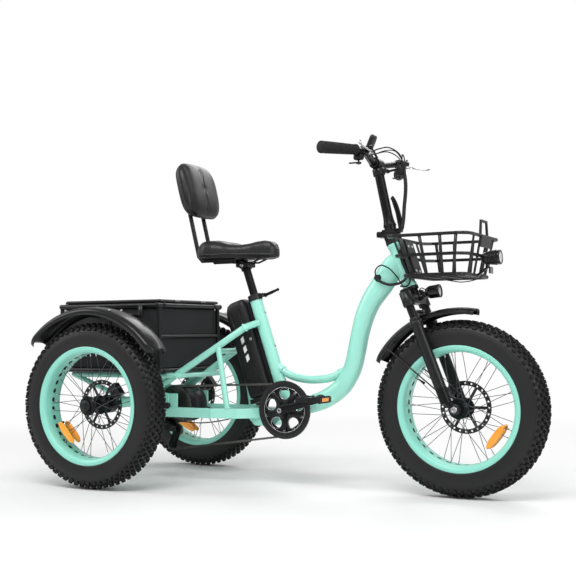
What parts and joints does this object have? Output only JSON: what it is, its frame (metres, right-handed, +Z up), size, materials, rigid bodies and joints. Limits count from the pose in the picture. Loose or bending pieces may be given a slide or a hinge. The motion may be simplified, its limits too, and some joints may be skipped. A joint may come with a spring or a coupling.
{
  "type": "adult tricycle",
  "caption": "Adult fat-tyre cargo tricycle with folding stem, suspension fork, padded seat with backrest, lidded rear box, front basket, mudguards, battery and drive train.",
  "frame": {"origin": "on the ground, midway between the front of the front tyre and the back of the rear tyres, on the centre plane", "axes": "+X forward, +Y to the rider's left, +Z up"},
  "size_m": [1.853, 0.842, 1.2613],
  "materials": {
    "frame_paint": "gloss",
    "black_paint": "satin",
    "black_alloy": "satin",
    "steel": "satin",
    "tyre": "matte",
    "plastic": "satin",
    "gloss_black": "gloss",
    "leatherette": "satin",
    "grip": "matte",
    "liner": "matte",
    "red_lens": "gloss"
  },
  "bodies": {
    "frame": {"main_frame": "frame_paint", "rear_frame": "frame_paint", "axle_bearings": "black_alloy", "bearing_cups": "black_alloy", "battery_dock": "plastic", "seat_clamp": "black_alloy", "front_basket": "black_paint", "basket_tray": "plastic", "headlamp": "gloss_black", "rear_basket_frame": "black_paint", "rear_basket_liner": "liner", "rear_fenders": "plastic", "tail_lamp": "red_lens", "rear_calipers": "black_alloy", "drive_chain": "steel", "axle_chain": "steel", "derailleur": "black_alloy"},
    "lid": {"basket_lid": "plastic"},
    "battery": {"battery_case": "gloss_black"},
    "seat": {"seat_post": "steel", "saddle_rails": "black_paint", "saddle_base": "plastic", "saddle_cover": "leatherette", "backrest_tubes": "black_paint"},
    "backrest": {"backrest_pad": "leatherette"},
    "seat_quick_release": {"seat_lever": "black_alloy"},
    "cranks": {"crank_arms": "black_alloy", "chainring": "black_alloy"},
    "right_pedal": {"pedal_right": "plastic"},
    "left_pedal": {"pedal_left": "plastic"},
    "gears": {"cassette": "steel"},
    "motor": {"motor_shell": "black_alloy"},
    "upper_jockey": {"jockey_upper": "plastic"},
    "lower_jockey": {"jockey_lower": "plastic"},
    "right_wheel": {"right_tyre": "tyre", "right_rim": "frame_paint", "right_spokes": "steel", "right_hub": "black_alloy"},
    "left_wheel": {"left_tyre": "tyre", "left_rim": "frame_paint", "left_spokes": "steel", "left_hub": "black_alloy"},
    "front_wheel": {"front_tyre": "tyre", "front_rim": "frame_paint", "front_spokes": "steel", "front_hub": "black_alloy"},
    "fork": {"fork_upper": "black_alloy", "horn": "gloss_black"},
    "fork_lowers": {"fork_lower": "black_alloy", "front_fender": "plastic"},
    "stem": {"stem_post": "black_alloy"},
    "stem_catch": {"stem_latch": "black_alloy"},
    "bars": {"handlebar": "black_alloy", "grips": "grip"},
    "screen": {"display": "gloss_black"},
    "right_brake": {"brake_lever_right": "steel"},
    "left_brake": {"brake_lever_left": "steel"},
    "shifter": {"shift_lever": "plastic"},
    "throttle": {"throttle_lever": "plastic"},
    "bar_quick_release": {"bar_latch": "black_alloy"}
  },
  "joints": [
    {"name": "steer", "type": "hinge", "parent": "frame", "child": "fork", "pos_m": [0.4225, 0, 0.785], "axis": [-0.3584, 0, 0.9336], "range_deg": [-40, 40]},
    {"name": "fork_travel", "type": "slide", "parent": "fork", "child": "fork_lowers", "axis": [-0.3584, 0, 0.9336], "range_m": [0, 0.02], "stiffness_N_per_m": 12000},
    {"name": "front_wheel_spin", "type": "hinge", "parent": "fork_lowers", "child": "front_wheel", "pos_m": [0.6285, 0, 0.298], "axis": [0, 1, 0], "continuous": true},
    {"name": "right_wheel_spin", "type": "hinge", "parent": "frame", "child": "right_wheel", "pos_m": [-0.6285, -0.365, 0.298], "axis": [0, 1, 0], "continuous": true},
    {"name": "left_wheel_spin", "type": "hinge", "parent": "frame", "child": "left_wheel", "pos_m": [-0.6285, 0.365, 0.298], "axis": [0, 1, 0], "continuous": true},
    {"name": "crank_spin", "type": "hinge", "parent": "frame", "child": "cranks", "pos_m": [-0.0065, 0, 0.279], "axis": [0, 1, 0], "continuous": true},
    {"name": "right_pedal_spin", "type": "hinge", "parent": "cranks", "child": "right_pedal", "pos_m": [0.15691, -0.15, 0.32586], "axis": [0, 1, 0], "continuous": true},
    {"name": "left_pedal_spin", "type": "hinge", "parent": "cranks", "child": "left_pedal", "pos_m": [-0.16991, 0.15, 0.23214], "axis": [0, 1, 0], "continuous": true},
    {"name": "cassette_spin", "type": "hinge", "parent": "frame", "child": "gears", "pos_m": [-0.4785, -0.064, 0.285], "axis": [0, 1, 0], "continuous": true},
    {"name": "motor_spin", "type": "hinge", "parent": "frame", "child": "motor", "pos_m": [-0.4785, 0, 0.285], "axis": [0, 1, 0], "continuous": true},
    {"name": "upper_jockey_spin", "type": "hinge", "parent": "frame", "child": "upper_jockey", "pos_m": [-0.4685, -0.064, 0.1895], "axis": [0, 1, 0], "continuous": true},
    {"name": "lower_jockey_spin", "type": "hinge", "parent": "frame", "child": "lower_jockey", "pos_m": [-0.4905, -0.064, 0.137], "axis": [0, 1, 0], "continuous": true},
    {"name": "lid_open", "type": "hinge", "parent": "frame", "child": "lid", "pos_m": [-0.9045, 0, 0.672], "axis": [0, -1, 0], "range_deg": [0, 100]},
    {"name": "battery_removal", "type": "slide", "parent": "frame", "child": "battery", "axis": [-0.3155, 0, 0.9489], "range_m": [0, 0.1]},
    {"name": "seat_height", "type": "slide", "parent": "frame", "child": "seat", "axis": [-0.3155, 0, 0.9489], "range_m": [-0.02, 0.1]},
    {"name": "backrest_height", "type": "slide", "parent": "seat", "child": "backrest", "axis": [-0.2365, 0, 0.9716], "range_m": [0, 0.05]},
    {"name": "seat_lever_swing", "type": "hinge", "parent": "frame", "child": "seat_quick_release", "pos_m": [-0.13071, 0, 0.6963], "axis": [0, 1, 0], "range_deg": [-70, 70]},
    {"name": "stem_fold", "type": "hinge", "parent": "fork", "child": "stem", "pos_m": [0.3435, 0, 0.898], "axis": [0, -1, 0], "range_deg": [0, 90]},
    {"name": "stem_latch_swing", "type": "hinge", "parent": "stem", "child": "stem_catch", "pos_m": [0.4185, 0, 0.909], "axis": [0, 1, 0], "range_deg": [0, 85]},
    {"name": "bar_height", "type": "slide", "parent": "stem", "child": "bars", "axis": [-0.2024, 0, 0.9793], "range_m": [0, 0.08]},
    {"name": "bar_latch_swing", "type": "hinge", "parent": "stem", "child": "bar_quick_release", "pos_m": [0.36426, 0, 1.121], "axis": [0, 1, 0], "range_deg": [-60, 60]},
    {"name": "display_tilt", "type": "hinge", "parent": "bars", "child": "screen", "pos_m": [0.3315, 0, 1.148], "axis": [0, 1, 0], "range_deg": [-20, 20]},
    {"name": "right_brake_squeeze", "type": "hinge", "parent": "bars", "child": "right_brake", "pos_m": [0.3795, -0.17, 1.155], "axis": [0, 0, -1], "range_deg": [0, 14]},
    {"name": "left_brake_squeeze", "type": "hinge", "parent": "bars", "child": "left_brake", "pos_m": [0.3795, 0.17, 1.155], "axis": [0, 0, 1], "range_deg": [0, 14]},
    {"name": "shift_click", "type": "hinge", "parent": "bars", "child": "shifter", "pos_m": [0.3435, -0.187, 1.123], "axis": [0, 0, 1], "range_deg": [-20, 20]},
    {"name": "throttle_press", "type": "hinge", "parent": "bars", "child": "throttle", "pos_m": [0.3435, 0.187, 1.123], "axis": [0, 0, 1], "range_deg": [-20, 20]}
  ],
  "couplings": [
    {"joint": "cassette_spin", "follows": "crank_spin", "ratio": 1.3529},
    {"joint": "upper_jockey_spin", "follows": "crank_spin", "ratio": -4.6},
    {"joint": "lower_jockey_spin", "follows": "crank_spin", "ratio": 4.6},
    {"joint": "motor_spin", "follows": "right_wheel_spin", "ratio": 1}
  ]
}
